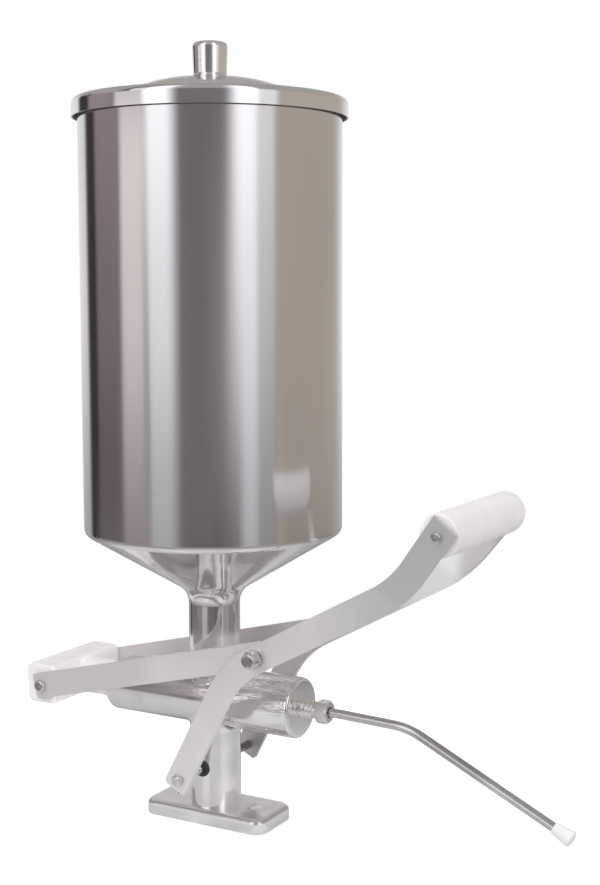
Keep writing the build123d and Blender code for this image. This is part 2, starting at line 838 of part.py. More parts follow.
link_near = link_bar(NEAR)
link_near.label = "link_near"
export_step(link_near, "parts/link_near.step")
link_far = link_bar(FAR)
link_far.label = "link_far"
export_step(link_far, "parts/link_far.step")

# Grip: a plain nylon bar, its ends cut to lie on the spread plates and tapped
grip_blank = grip_middle + grip_diameter / 2
plate_half = lever_thickness / 2
with BuildPart() as lever_grip:
    with BuildSketch(outward(NEAR, grip_blank, grip_centre)):
        Circle(grip_diameter / 2)
    extrude(amount=-2 * grip_blank)
    for side in SIDES:
        split(bisect_by=grip_seat(side, -plate_half), keep=Keep.BOTTOM)
    grip_ends = lever_grip.faces().filter_by(GeomType.PLANE)
    fillet([face.edges() for face in grip_ends], grip_edge_radius)
    for side in SIDES:
        with BuildSketch(grip_seat(side, -plate_half)):
            Circle(grip_screw_diameter / 2 + seat_gap)
        extrude(amount=-grip_screw_length, mode=Mode.SUBTRACT)
lever_grip.part.label = "lever_grip"
export_step(lever_grip.part, "parts/lever_grip.step")

grip_screw_pair = [
    cross_screw(
        grip_seat(side, plate_half),
        grip_screw_diameter,
        grip_screw_length,
        grip_screw_head_diameter,
    )
    for side in SIDES
]
with BuildPart() as grip_screws:
    add(grip_screw_pair)
grip_screws.part.label = "grip_screws"
export_step(grip_screws.part, "parts/grip_screws.step")

# Axle through the post's bushes, and the domed caps that hold the plates on its ends
axle_end = lever_outer + axle_proud
with BuildPart() as lever_axle:
    with BuildSketch(outward(NEAR, axle_end, fulcrum)):
        Circle(axle_diameter / 2)
    extrude(amount=-2 * axle_end)
lever_axle.part.label = "lever_axle"
export_step(lever_axle.part, "parts/lever_axle.step")

cap_dome = cap_height - axle_proud
with BuildPart() as axle_caps:
    for side in SIDES:
        with BuildSketch(outward(side, lever_outer, fulcrum)):
            Circle(cap_diameter / 2)
        extrude(amount=cap_height)
    cap_tops = axle_caps.faces().filter_by(GeomType.PLANE)
    outer_tops = [cap_tops.sort_by(Axis.Y)[0], cap_tops.sort_by(Axis.Y)[-1]]
    fillet([face.edges() for face in outer_tops], cap_dome * 0.8)
    for side in SIDES:
        with BuildSketch(outward(side, lever_outer, fulcrum)):
            Circle(axle_diameter / 2 + seat_gap)
        extrude(amount=axle_proud + seat_gap, mode=Mode.SUBTRACT)
axle_caps.part.label = "axle_caps"
export_step(axle_caps.part, "parts/axle_caps.step")

# Pivot bolts: head inside the link, through link, spacer and plate to the nut outside
washer_outer = lever_outer + pivot_washer_thickness
nut_outer = washer_outer + pivot_nut_height
bolt_seat = link_inner - face_gap
pivot_bolt_pair = [
    screw(
        outward(-side, -bolt_seat, pivot),
        pivot_bolt_diameter,
        nut_outer + pivot_bolt_proud - bolt_seat,
        pivot_head_diameter,
        pivot_head_height,
        pivot_socket,
        pivot_socket_depth,
    )
    for side in SIDES
]
with BuildPart() as pivot_bolts:
    add(pivot_bolt_pair)
pivot_bolts.part.label = "pivot_bolts"
export_step(pivot_bolts.part, "parts/pivot_bolts.step")

with BuildPart() as spacer_washers:
    for side in SIDES:
        with BuildSketch(outward(side, lever_inner, pivot)):
            Circle(spacer_diameter / 2)
            Circle(pivot_bolt_diameter / 2 + seat_gap, mode=Mode.SUBTRACT)
        extrude(amount=link_outer + face_gap - lever_inner)
spacer_washers.part.label = "spacer_washers"
export_step(spacer_washers.part, "parts/spacer_washers.step")

with BuildPart() as pivot_washers:
    for side in SIDES:
        with BuildSketch(outward(side, lever_outer, pivot)):
            Circle(pivot_washer_diameter / 2)
            Circle(pivot_bolt_diameter / 2 + seat_gap, mode=Mode.SUBTRACT)
        extrude(amount=pivot_washer_thickness)
pivot_washers.part.label = "pivot_washers"
export_step(pivot_washers.part, "parts/pivot_washers.step")

# Pivot nuts: a hexagon with a round locking collar on its outer end
hexagon_height = pivot_nut_height - pivot_collar_height
pivot_nut_blanks = [
    chamfered_hexagon(outward(side, washer_outer, pivot), pivot_nut_across, hexagon_height)
    for side in SIDES
]
with BuildPart() as pivot_nuts:
    add(pivot_nut_blanks)
    for side in SIDES:
        with BuildSketch(outward(side, washer_outer + hexagon_height, pivot)):
            Circle(pivot_collar_diameter / 2)
        extrude(amount=pivot_collar_height)
    collar_tops = pivot_nuts.faces().filter_by(Axis.Y).sort_by(Axis.Y)
    fillet([collar_tops[0].edges(), collar_tops[-1].edges()], pivot_collar_radius)
    for side in SIDES:
        with BuildSketch(outward(side, nut_outer, pivot)):
            Circle(pivot_bolt_diameter / 2 + pivot_mouth_gap)
        extrude(amount=-pivot_mouth_depth, mode=Mode.SUBTRACT)
    with BuildSketch(Plane.XZ):
        with Locations(pivot):
            Circle(pivot_bolt_diameter / 2 + seat_gap)
    extrude(amount=2 * nut_outer, both=True, mode=Mode.SUBTRACT)
pivot_nuts.part.label = "pivot_nuts"
export_step(pivot_nuts.part, "parts/pivot_nuts.step")

# Screws that carry the links on the crosshead: they stand free in its end pockets
link_screw_pair = [
    cross_screw(
        outward(side, link_outer, crosshead_pivot),
        link_screw_diameter,
        link_screw_length,
        link_screw_head_diameter,
    )
    for side in SIDES
]
with BuildPart() as link_screws:
    add(link_screw_pair)
link_screws.part.label = "link_screws"
export_step(link_screws.part, "parts/link_screws.step")

# Crosshead: a nylon block across the plunger's end, with a pocket at each end for the links
pocket_radius = link_screw_diameter / 2 + link_play
pocket_depth = link_screw_length - link_thickness - face_gap + pocket_end_gap
spigot_end = crosshead_right - spigot_length
screw_seat = spigot_end - plunger_screw_web
with BuildPart() as crosshead:
    with BuildSketch(Plane.XZ):
        with Locations((crosshead_x, pump_height)):
            RectangleRounded(crosshead_width, crosshead_height, crosshead_edge_radius)
    extrude(amount=crosshead_length / 2, both=True)
    block_ends = crosshead.faces().filter_by(GeomType.PLANE).filter_by(Axis.Y)
    fillet([face.edges() for face in block_ends], crosshead_end_radius)
    with BuildSketch(Plane.YZ.offset(crosshead_right)):
        with Locations((0, pump_height)):
            Circle(spigot_diameter / 2 + seat_gap)
    extrude(amount=-spigot_length, mode=Mode.SUBTRACT)
    with BuildSketch(Plane.YZ.offset(crosshead_left)):
        with Locations((0, pump_height)):
            Circle(plunger_screw_diameter / 2 + thread_gap)
    extrude(amount=crosshead_width, mode=Mode.SUBTRACT)
    with BuildSketch(Plane.YZ.offset(crosshead_left)):
        with Locations((0, pump_height)):
            Circle(plunger_screw_head_diameter / 2 + thread_gap)
    extrude(amount=screw_seat - crosshead_left, mode=Mode.SUBTRACT)
    for side in SIDES:
        with BuildSketch(outward(side, crosshead_length / 2, crosshead_pivot)):
            Circle(pocket_radius)
        extrude(amount=-pocket_depth, mode=Mode.SUBTRACT)
crosshead.part.label = "crosshead"
export_step(crosshead.part, "parts/crosshead.step")

# Plunger: a nylon rod with a spigot in the crosshead and two seal grooves
seal_radius = seal_section / 2
seal_places = (plunger_front - seal_setback - seal_pitch, plunger_front - seal_setback)
seal_middle = bore_radius - running_fit - seal_radius
groove_floor = seal_middle - seal_radius - seat_gap
groove_half = seal_radius + seal_squeeze_gap / 2
tapped_radius = plunger_screw_diameter / 2 + thread_gap
tapped_end = spigot_end + plunger_screw_bite
groove_points = []
for place in seal_places:
    groove_points += [
        (place - groove_half, plunger_radius),
        (place - groove_half, groove_floor),
        (place + groove_half, groove_floor),
        (place + groove_half, plunger_radius),
    ]
plunger = turned(
    [
        (spigot_end, tapped_radius),
        (spigot_end, spigot_diameter / 2),
        (crosshead_right, spigot_diameter / 2),
        (crosshead_right, plunger_radius),
        *groove_points,
        (plunger_front - plunger_nose_chamfer, plunger_radius),
        (plunger_front, plunger_radius - plunger_nose_chamfer),
        (plunger_front, 0),
        (tapped_end, 0),
        (tapped_end, tapped_radius),
    ],
    (0, 0, pump_height),
    (1, 0, 0),
)
plunger.label = "plunger"
export_step(plunger, "parts/plunger.step")

with BuildPart() as plunger_seals:
    for place in seal_places:
        with Locations(Location((place, 0, pump_height), (0, 90, 0))):
            Torus(seal_middle, seal_radius)
plunger_seals.part.label = "plunger_seals"
export_step(plunger_seals.part, "parts/plunger_seals.step")

plunger_screw = screw(
    Plane(origin=(screw_seat, 0, pump_height), z_dir=(-1, 0, 0)),
    plunger_screw_diameter,
    plunger_screw_web + plunger_screw_bite - thread_gap,
    plunger_screw_head_diameter,
    plunger_screw_head_height,
    plunger_screw_socket,
    plunger_screw_socket_depth,
)
plunger_screw.label = "plunger_screw"
export_step(plunger_screw, "parts/plunger_screw.step")
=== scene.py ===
# %% [markdown]
# # A hand-pumped churro filler, dressed in cells
#
# The solid model comes ready from CAD: a steel hopper on a cast pump, with a lever that pushes a
# plunger. This lesson gives it a camera, a studio, finishes and the small repeating details.
# Everything is in metres and in the frame of the CAD model, so nothing has to be fitted by eye.

import math

import bpy
from mathutils import Matrix, Vector


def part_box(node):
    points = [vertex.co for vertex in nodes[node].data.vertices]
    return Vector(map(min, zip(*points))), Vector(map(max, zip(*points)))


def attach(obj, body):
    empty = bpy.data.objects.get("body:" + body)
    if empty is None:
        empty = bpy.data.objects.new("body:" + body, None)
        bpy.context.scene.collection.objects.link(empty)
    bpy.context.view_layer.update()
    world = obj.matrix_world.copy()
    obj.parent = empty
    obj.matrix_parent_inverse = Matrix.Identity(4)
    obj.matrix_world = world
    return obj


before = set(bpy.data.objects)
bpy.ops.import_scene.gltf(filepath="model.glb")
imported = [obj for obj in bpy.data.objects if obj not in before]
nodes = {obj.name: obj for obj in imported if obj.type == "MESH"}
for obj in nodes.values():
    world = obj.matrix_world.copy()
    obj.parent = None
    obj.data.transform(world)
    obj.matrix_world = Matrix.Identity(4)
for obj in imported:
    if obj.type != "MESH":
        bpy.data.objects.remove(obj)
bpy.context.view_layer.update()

# %% [markdown]
# ## Camera
#
# The photograph was taken from the right of the pump, only a little above the middle of the
# hopper, so the lid shows as a thin crescent. A camera can be placed by turning it with angles.
# Here it has a place and a point that it looks at, because both can be measured on the object,
# and a hair of roll, because nobody holds a camera quite level.

# %% Camera
camera_place = Vector((0.55926, -0.86089, 0.37904))
camera_target = Vector((0.05268, 0.02996, 0.26775))
camera_roll = math.radians(-0.106)
lens_mm = 60.118
sensor_mm = 36.0

camera_data = bpy.data.cameras.new("photo_camera")
camera_data.lens = lens_mm
camera_data.sensor_width = sensor_mm
camera = bpy.data.objects.new("photo_camera", camera_data)
bpy.context.scene.collection.objects.link(camera)
gaze = (camera_target - camera_place).to_track_quat("-Z", "Y").to_matrix().to_4x4()
camera.matrix_world = Matrix.Translation(camera_place) @ gaze @ Matrix.Rotation(camera_roll, 4, "Z")
bpy.context.scene.camera = camera
bpy.context.scene.view_settings.view_transform = "Standard"
print("camera distance:", round((camera_target - camera_place).length, 3), "m")

# %% [markdown]
# ## Writing shaders as sums
#
# A finish is a small node tree. Nodes can be placed by hand in the editor, but sums are easier to
# read than wires. `Wire` stands for a socket that gives a value, and `+ - * /` on wires add Math
# nodes. Its two soft masks, `rise` and `within`, say where on the machine a finish changes. `Board`
# is the tree itself: its method `add` makes any other node, sets its options first and then its
# sockets.

# %% Wires and boards
class Wire:
    """A value on its way through a node tree."""

    def __init__(self, board, socket):
        self.board = board
        self.socket = socket

    def maths(self, operation, *values):
        return self.board.add("ShaderNodeMath", {"operation": operation}, dict(enumerate(values)))

    def __add__(self, other):
        return self.maths("ADD", self, other)

    def __sub__(self, other):
        return self.maths("SUBTRACT", self, other)

    def __rsub__(self, other):
        return self.maths("SUBTRACT", other, self)

    def __mul__(self, other):
        return self.maths("MULTIPLY", self, other)

    def __truediv__(self, other):
        return self.maths("DIVIDE", self, other)

    def __rtruediv__(self, other):
        return self.maths("DIVIDE", other, self)

    def __pow__(self, other):
        return self.maths("POWER", self, other)

    __radd__ = __add__
    __rmul__ = __mul__

    def larger(self, other):
        return self.maths("MAXIMUM", self, other)

    def size(self):
        return self.maths("ABSOLUTE", self)

    def rise(self, low, high):
        """0 below low, 1 above high, and a soft step between; the step falls where high is below low."""
        return self.board.add(
            "ShaderNodeMapRange",
            {"interpolation_type": "SMOOTHSTEP", "clamp": True},
            {"Value": self, "From Min": low, "From Max": high},
        )

    def within(self, low, full_low, full_high, high):
        """1 between full_low and full_high, 0 outside low and high, and soft steps between."""
        return self.rise(low, full_low) * self.rise(high, full_high)


class Board:
    """A node tree that is filled from Python."""

    def __init__(self, tree):
        self.tree = tree
        tree.nodes.clear()

    def add(self, kind, settings=None, sockets=None, out=0):
        node = self.tree.nodes.new(kind)
        for name, value in (settings or {}).items():
            setattr(node, name, value)
        for name, value in (sockets or {}).items():
            if isinstance(value, Wire):
                self.tree.links.new(value.socket, node.inputs[name])
            else:
                node.inputs[name].default_value = value
        return Wire(self, node.outputs[out]) if node.outputs else node

    def blend(self, share, first, second):
        """A colour between two colours, which are sockets 6 and 7 of the Mix node."""
        return self.add(
            "ShaderNodeMix", {"data_type": "RGBA"}, {0: share, 6: first, 7: second}, out=2
        )

    def scale(self, colour, share):
        """A colour made lighter or darker."""
        return self.add("ShaderNodeVectorMath", {"operation": "SCALE"}, {0: colour, "Scale": share})

    def outputs(self, kind, sockets=None):
        """All outputs of one new node, by name."""
        node = self.add(kind, {}, sockets).socket.node
        return {socket.name: Wire(self, socket) for socket in node.outputs}

    def parts(self, vector):
        """The X, Y and Z of a vector."""
        return self.outputs("ShaderNodeSeparateXYZ", {0: vector}).values()


def grey(value):
    return (value, value, value, 1.0)


def ray_masks(board):
    """Two masks: rays from the camera or through glass, and rays that a mirror sends on."""
    rays = board.outputs("ShaderNodeLightPath")
    return rays["Is Camera Ray"].larger(rays["Is Transmission Ray"]), rays["Is Glossy Ray"]


def compass_angle(east, north):
    """Degrees seen from above, with 0 at the front of the pump and counting to its right."""
    return east.maths("ARCTAN2", east, north * -1.0) * math.degrees(1.0)


print("shader tools ready")

# %% [markdown]
# ## The studio around the machine
#
# Polished metal has hardly any colour of its own: what the eye reads as steel is the room in it.
# A photographer hangs soft boxes and dark cloths around such an object. One could hang real planes
# around the machine, but they would also light it and cast shadows. Here the world plays that
# room. Each panel is a stretch of compass angles, with soft edges, a top and a colour. Later panels
# hang in front of earlier ones, and a cloth with a low top only covers the foot of what is behind
# it. So the window is a pile of three: a high one, the lintel across it and the lower panes.

# %% Studio panels
# name, from and to in degrees, softness of both edges in degrees, height of the top in degrees,
# colour, and the glow above the horizon where the panel fades downwards, or None where it is even
studio_panels = [
    ("back wall", 162.0, 259.0, 44.0, 14.0, 17.5, (0.92, 0.92, 0.93), 0.0),
    ("right wall", 88.0, 176.0, 10.0, 40.0, 17.5, (0.55, 0.495, 0.445), None),
    ("right wall spill", 66.0, 89.0, 8.0, 7.0, 17.5, (0.76, 0.76, 0.78), 0.38),
    ("right low cloth", 97.0, 165.0, 10.0, 20.0, -11.0, (0.24, 0.225, 0.225), None),
    ("soft box glow", 32.0, 48.0, 14.0, 8.0, 1.5, (0.37, 0.35, 0.365), None),
    ("right soft box", 51.2, 71.8, 17.0, 6.0, 58.0, (1.20, 1.21, 1.28), 0.38),
    ("soft box side", 46.8, 60.0, 20.0, 8.0, 0.0, (1.20, 1.21, 1.28), 0.38),
    ("soft box stand", 30.0, 57.5, 10.0, 8.0, -6.5, (0.16, 0.15, 0.16), None),
    ("window wall", -53.0, -36.5, 6.0, 4.0, 66.0, (0.20, 0.19, 0.19), None),
    ("high window", -39.0, -23.0, 5.0, 4.0, 36.0, (1.05, 1.00, 0.98), None),
    ("window lintel", -53.0, -24.0, 6.0, 4.0, 12.0, (0.24, 0.23, 0.23), None),
    ("front window", -50.5, -22.5, 6.0, 4.0, 7.6, (0.94, 0.875, 0.855), 0.25),
    ("front soft box", -23.0, 1.2, 5.0, 14.0, 58.0, (1.12, 1.15, 1.21), 0.38),
    ("window post", -28.4, -22.2, 3.0, 3.0, 0.5, (0.42, 0.41, 0.41), None),
    ("left cloth", -102.0, -83.0, 8.0, 8.0, 17.5, (0.05, 0.045, 0.045), None),
    ("left wall", -84.0, -54.0, 6.0, 6.0, 17.5, (0.265, 0.225, 0.218), 0.38),
    ("left low cloth", -52.0, -27.0, 6.0, 4.0, -12.0, (0.20, 0.18, 0.18), None),
    ("left low card", -92.0, -53.0, 6.0, 4.0, -14.0, (0.45, 0.44, 0.44), None),
]
usual_soft_top = 8.5
crisp_soft_tops = {"window lintel": 2.0, "front window": 2.0}
print("studio panels:", len(studio_panels))

# %% [markdown]
# ## The world that shows the studio
#
# The world shader is given the direction of each ray, and a compass angle and a height come from
# it. An image of a studio would do the same, but it could not be tuned panel by panel. Some panels
# fade towards the floor as real soft boxes do. Only mirrored rays see the panels. The camera sees
# plain white, and matt surfaces are lit by an even pale sky.

# %% Studio world
room_tone = (0.222, 0.206, 0.214, 1.0)
ceiling_tone = (0.47, 0.445, 0.43, 1.0)
ground_tone = (0.35, 0.33, 0.32, 1.0)
sky_tone = grey(0.62)
half_turn = 180.0
light_at_foot = 0.55
skirting_tone = 0.72
# heights in degrees between which one tone goes over into the next
to_ceiling = (9.0, 21.0)
to_full_light = (-10.0, 0.0)
to_glow = (-1.0, 8.0)
to_plain_wall = (-12.5, -9.5)
to_ground = (-12.0, -24.0)

world = bpy.data.worlds.new("studio")
world.use_nodes = True
world.cycles.sampling_method = "NONE"
bpy.context.scene.world = world
room = Board(world.node_tree)
east, north, up = room.parts(room.add("ShaderNodeTexCoord", out="Generated"))
compass = compass_angle(east, north)
height = up.maths("ARCSINE", up) * math.degrees(1.0)

walls = room.blend(height.rise(*to_ceiling), room_tone, ceiling_tone)
for name, start, end, soft_start, soft_end, top, colour, glow in studio_panels:
    middle = (start + end) / 2
    half = (end - start) / 2
    soft_top = crisp_soft_tops.get(name, usual_soft_top)
    # turn the compass so that the panel's middle is at 0, which keeps the seam behind it
    aside = room.add(
        "ShaderNodeMath", {"operation": "WRAP"}, {0: compass - middle, 1: half_turn, 2: -half_turn}
    )
    inside = aside.within(
        -half - soft_start / 2, -half + soft_start / 2, half - soft_end / 2, half + soft_end / 2
    ) * height.rise(top + soft_top, top - soft_top)
    lit = (*colour, 1.0)
    if glow is not None:
        fade = light_at_foot + (1.0 - light_at_foot) * height.rise(*to_full_light)
        lit = room.scale(colour, fade + glow * height.rise(*to_glow))
    walls = room.blend(inside, walls, lit)
walls = room.scale(walls, skirting_tone + (1.0 - skirting_tone) * height.rise(*to_plain_wall))
surroundings = room.blend(height.rise(*to_ground), walls, ground_tone)

seen_directly, mirrored = ray_masks(room)
light = room.blend(mirrored, sky_tone, surroundings)
light = room.blend(seen_directly, light, grey(1.0))
background = room.add("ShaderNodeBackground", {}, {"Color": light, "Strength": 1.0})
room.add("ShaderNodeOutputWorld", {}, {"Surface": background})
print("nodes in the world:", len(room.tree.nodes))

# %% [markdown]
# ## Floor
#
# The machine stands on a white table. A plain bright floor would blow out, and a grey one would
# show its edge. So the floor glows a little for the camera, and takes the rest of its white from
# the lamps, which leaves a faint shadow where the base stands. Polished metal would show that
# table as one flat white, so mirrored rays find it greyer, darker far out, and laid with paler
# cards and darker cloths by compass angle. They put the upright bands on the post and the funnel.

# %% Floor
floor_radius = 0.42
floor_sink = 0.0004
floor_glow = 0.62
floor_paint = 0.72
mirrored_near = grey(0.67)
mirrored_far = grey(0.46)
rim_points = 96
# distances from the middle in metres between which the mirrored table changes
to_far = (0.25, 0.34)
to_cards = (0.24, 0.18)

rim_angles = [math.tau * k / rim_points for k in range(rim_points)]
rim = [(floor_radius * math.cos(a), floor_radius * math.sin(a), -floor_sink) for a in rim_angles]
floor_mesh = bpy.data.meshes.new("table_top")
floor_mesh.from_pydata(rim, [], [list(range(rim_points))])
floor = bpy.data.objects.new("table_top", floor_mesh)
bpy.context.scene.collection.objects.link(floor)

floor_finish = bpy.data.materials.new("white_table")
floor_finish.use_nodes = True
table = Board(floor_finish.node_tree)
place = table.add("ShaderNodeTexCoord", out="Object")
reach = table.add("ShaderNodeVectorMath", {"operation": "LENGTH"}, {0: place}, out="Value")
east, north, _ = table.parts(place)
bearing = compass_angle(east, north)
# where each card or cloth lies, in degrees of the compass
right_card = bearing.rise(44.0, 62.0) * (1.0 - 0.5 * bearing.rise(80.0, 92.0))
rear_card = bearing.rise(105.0, 150.0)
front_card = bearing.within(-30.0, -16.0, 2.0, 12.0)
left_cloth = bearing.within(-135.0, -128.0, -112.0, -102.0)
far_left_cloth = bearing.within(-162.0, -157.0, -154.0, -149.0)
rear_cloth = bearing.rise(-163.0, -169.0)
# the share by which each lightens or darkens the mirrored table
cards = (
    0.25 * right_card
    + 0.16 * rear_card
    + 0.20 * front_card
    - 0.44 * left_cloth
    - 0.42 * far_left_cloth
    - 0.20 * rear_cloth
)
mirrored_tone = table.scale(
    table.blend(reach.rise(*to_far), mirrored_near, mirrored_far),
    1.0 + cards * reach.rise(*to_cards),
)
looked_at, in_mirrors = ray_masks(table)
tone = table.blend(in_mirrors, grey(floor_paint), mirrored_tone)
paint = table.add("ShaderNodeBsdfDiffuse", {}, {"Color": tone})
own_light = table.add(
    "ShaderNodeEmission", {}, {"Color": grey(1.0), "Strength": looked_at * floor_glow}
)
both = table.add("ShaderNodeAddShader", {}, {0: own_light, 1: paint})
table.add("ShaderNodeOutputMaterial", {}, {"Surface": both})
floor_mesh.materials.append(floor_finish)
print("floor radius:", floor_radius, "m")

# %% [markdown]
# ## Lamps
#
# Two large area lamps shape the matt pieces, one from the front left and a weaker one from the
# right. A sun lamp would cast one hard shadow, and an area as wide as these a soft one. Mirrors do
# not see them, because the panels of the world already play that part.

# %% Lamps
lit_point = Vector((0.0, 0.0, 0.25))


def soft_lamp(name, place, width, watts):
    data = bpy.data.lights.new(name, "AREA")
    data.shape = "SQUARE"
    data.size = width
    data.energy = watts
    lamp = bpy.data.objects.new(name, data)
    lamp.location = place
    lamp.rotation_euler = (lit_point - Vector(place)).to_track_quat("-Z", "Y").to_euler()
    lamp.visible_glossy = False
    bpy.context.scene.collection.objects.link(lamp)
    print(name, watts, "W")


soft_lamp("front_lamp", (-0.9, -1.5, 1.7), 1.4, 26.0)
soft_lamp("side_lamp", (1.7, -0.3, 1.3), 1.0, 9.0)

# %% [markdown]
# ## Tools for finishes
#
# Every finish ends in one Principled shader. Patterns are laid in Object coordinates, which
# are metres on the real machine, so a scratch of half a millimetre is written as 0.0005. `grain`
# is a noise of a given size, stretched along any axis by giving three sizes, and `turning` is the
# noise in one direction that a lathe tool leaves. The stains and pale spots in the cells below are
# read from one photograph, so some of them may be its light and shade rather than the metal.

# %% Finish tools
def grain(board, size, detail=2.0, turn=(0.0, 0.0, 0.0), distortion=0.0):
    """Noise whose blotches are about `size` metres long in X, Y and Z."""
    sizes = size if isinstance(size, tuple) else (size, size, size)
    place = board.add("ShaderNodeTexCoord", out="Object")
    turned = board.add("ShaderNodeMapping", {"vector_type": "POINT"}, {"Vector": place, "Rotation": turn})
    spread = board.add(
        "ShaderNodeMapping",
        {"vector_type": "POINT"},
        {"Vector": turned, "Scale": tuple(1.0 / s for s in sizes)},
    )
    return board.add(
        "ShaderNodeTexNoise",
        {},
        {"Vector": spread, "Scale": 1.0, "Detail": detail, "Distortion": distortion},
    )


def turning(board, along, pitch, detail=2.0):
    """Noise in one direction, with marks about `pitch` metres apart."""
    return board.add(
        "ShaderNodeTexNoise",
        {"noise_dimensions": "1D"},
        {"W": along / pitch, "Scale": 1.0, "Detail": detail},
    )


def spot(board):
    """The three Object coordinates as wires."""
    return board.parts(board.add("ShaderNodeTexCoord", out="Object"))


def bump(board, relief, depth):
    """A normal that tilts as if the surface rose by `depth` metres where relief is 1."""
    return board.add(
        "ShaderNodeBump", {}, {"Height": relief, "Distance": depth, "Strength": 1.0}, out="Normal"
    )


def finish(name):
    material = bpy.data.materials.new(name)
    material.use_nodes = True
    return material, Board(material.node_tree)


def surface(board, **sockets):
    """Closes a finish with a Principled shader; the names of sockets are written with _ for a space."""
    named = {key.replace("_", " "): value for key, value in sockets.items()}
    shader = board.add("ShaderNodeBsdfPrincipled", {}, named)
    board.add("ShaderNodeOutputMaterial", {}, {"Surface": shader})


def dress(material, *names):
    for name in names:
        for slot in nodes[name].material_slots:
            slot.link = "OBJECT"
            slot.material = material
    print(material.name, "on", ", ".join(names))


print("finish tools ready")

# %% [markdown]
# ## Rolled steel of the hopper
#
# The hopper is rolled from a bright stainless sheet. Its mill grain runs up the wall, so the
# reflections are sharp lengthwise and soft across. One could use an anisotropic shader. A faint
# grain in roughness and normal does the same here and survives an export.

# %% Hopper steel
steel_colour = (0.635, 0.615, 0.605, 1.0)
steel_shade = (0.600, 0.580, 0.572, 1.0)

rolled_steel, board = finish("rolled_steel")
mill_grain = grain(board, (0.0011, 0.0011, 0.09), detail=3.0)
clouds = grain(board, (0.05, 0.05, 0.16))
surface(
    board,
    Base_Color=board.blend(clouds.rise(0.35, 0.7), steel_colour, steel_shade),
    Metallic=1.0,
    Roughness=0.09 + 0.05 * mill_grain + 0.03 * clouds,
    Normal=bump(board, mill_grain, 0.000008),
)
dress(rolled_steel, "hopper_shell")

# %% [markdown]
# ## Pressed steel of the lid
#
# The lid is spun or pressed from the same sheet and polished on a turntable, which leaves fine
# rings around the knob. A ring pattern can be a texture turned about the middle. Noise of the
# distance from the axis gives the same rings without one. The inside of the skirt was never
# polished, so it is matt and keeps the gap over the hopper dark.

# %% Lid steel
lid_colour = (0.72, 0.715, 0.705, 1.0)
lid_shade = (0.68, 0.672, 0.662, 1.0)
lid_low, lid_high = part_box("lid")
lid_radius = (lid_high[0] - lid_low[0]) / 2

pressed_steel, board = finish("pressed_steel")
x, y, z = spot(board)
radius = (x * x + y * y) ** 0.5
lap = turning(board, radius, 0.0016, detail=3.0)
clouds = grain(board, 0.04)
under_skirt = radius.rise(lid_radius - 0.0004, lid_radius - 0.0008) * z.rise(
    lid_low[2] + 0.010, lid_low[2] + 0.006
)
surface(
    board,
    Base_Color=board.blend(clouds.rise(0.35, 0.7), lid_colour, lid_shade),
    Metallic=1.0 - 0.85 * under_skirt,
    Roughness=0.07 + 0.04 * lap + 0.02 * clouds + 0.35 * under_skirt,
    Normal=bump(board, lap, 0.00001),
)
dress(pressed_steel, "lid")

# %% [markdown]
# ## Polished aluminium of the pump
#
# The pump body is an aluminium casting, turned or ground and then buffed by hand. Buffing leaves a
# wavy mirror: the reflections wobble, and small pits stay in the casting. A sculpted mesh could
# carry this. A low noise in the normal is enough, since the waves are only fractions of a
# millimetre deep. The barrel's waves run along it, as the buff did. The mirror is not the same all
# over: the barrel's rear top is duller, a dark line of painted shade runs where the near link
# passes, standing in for its shadow and dark reflection, and the faced end is paler. The foot of
# the post and the foot of the neck are painted paler too, a painted light.

# %% Pump casting
aluminium_colour = (0.83, 0.82, 0.81, 1.0)
aluminium_shade = (0.77, 0.755, 0.745, 1.0)
# pale colour of the faced end, also used as painted light on the foot of the post and of the neck
faced_and_painted_light_colour = (0.93, 0.915, 0.90, 1.0)
dull_colour = (0.48, 0.46, 0.45, 1.0)
link_shade_colour = (0.26, 0.245, 0.235, 1.0)
nipple_low, nipple_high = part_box("outlet_nipple")
pump_axis = (nipple_low[2] + nipple_high[2]) / 2
barrel_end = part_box("pump_body")[1][0]

buffed_casting, board = finish("buffed_casting")
waves = grain(board, (0.030, 0.0055, 0.0055), distortion=0.6)
ripples = grain(board, (0.010, 0.0022, 0.0022), detail=3.0, distortion=0.8)
swell = grain(board, 0.022, detail=1.0)
pits = grain(board, 0.0012).rise(0.66, 0.78)
stain = grain(board, 0.018, detail=3.0).rise(0.42, 0.72)
x, y, z = spot(board)
above_axis = z - pump_axis
on_barrel = above_axis.within(-0.024, -0.018, 0.018, 0.024)
upper = above_axis.rise(-0.002, 0.008)
on_end = x.rise(barrel_end - 0.0006, barrel_end - 0.0002)
polish = x.rise(-0.035, 0.005)
hard_to_reach = on_barrel * above_axis.rise(0.010, 0.015) * x.rise(0.0, -0.012)
# painted shade: a dark line on the barrel under the near link, standing in for the link's shadow and dark
# reflection
link_shade_line = above_axis.within(-0.0005, 0.0011, 0.0045, 0.0090)
link_darkening = link_shade_line * x.rise(0.014, -0.010) * y.rise(0.0, -0.008)
# painted light: the foot of the post and the foot of the neck are painted paler and less metallic
painted_light_post_foot = z.rise(0.036, 0.027) * x.rise(0.008, 0.013)
painted_light_neck_foot = above_axis.within(0.028, 0.034, 0.043, 0.0515) * (0.35 + 0.65 * x.rise(0.009, 0.0135))
skin = board.blend(stain, aluminium_colour, aluminium_shade)
skin = board.blend(on_end.larger(painted_light_post_foot).larger(painted_light_neck_foot), skin, faced_and_painted_light_colour)
skin = board.blend(0.6 * hard_to_reach, skin, dull_colour)
skin = board.blend(0.8 * link_darkening, skin, link_shade_colour)
buffing = (1.0 + 0.9 * upper) * waves + (0.30 + 0.35 * upper) * ripples
relief = on_barrel * polish * buffing + 0.55 * swell - 0.05 * pits
surface(
    board,
    Base_Color=skin,
    Metallic=1.0 - 0.3 * painted_light_post_foot - 0.45 * painted_light_neck_foot,
    Roughness=0.10 + 0.06 * stain + 0.10 * pits + 0.24 * on_barrel * (1.0 - polish),
    Normal=bump(board, relief * (1.0 - 0.92 * on_end), 0.0004),
)
dress(buffed_casting, "pump_body")
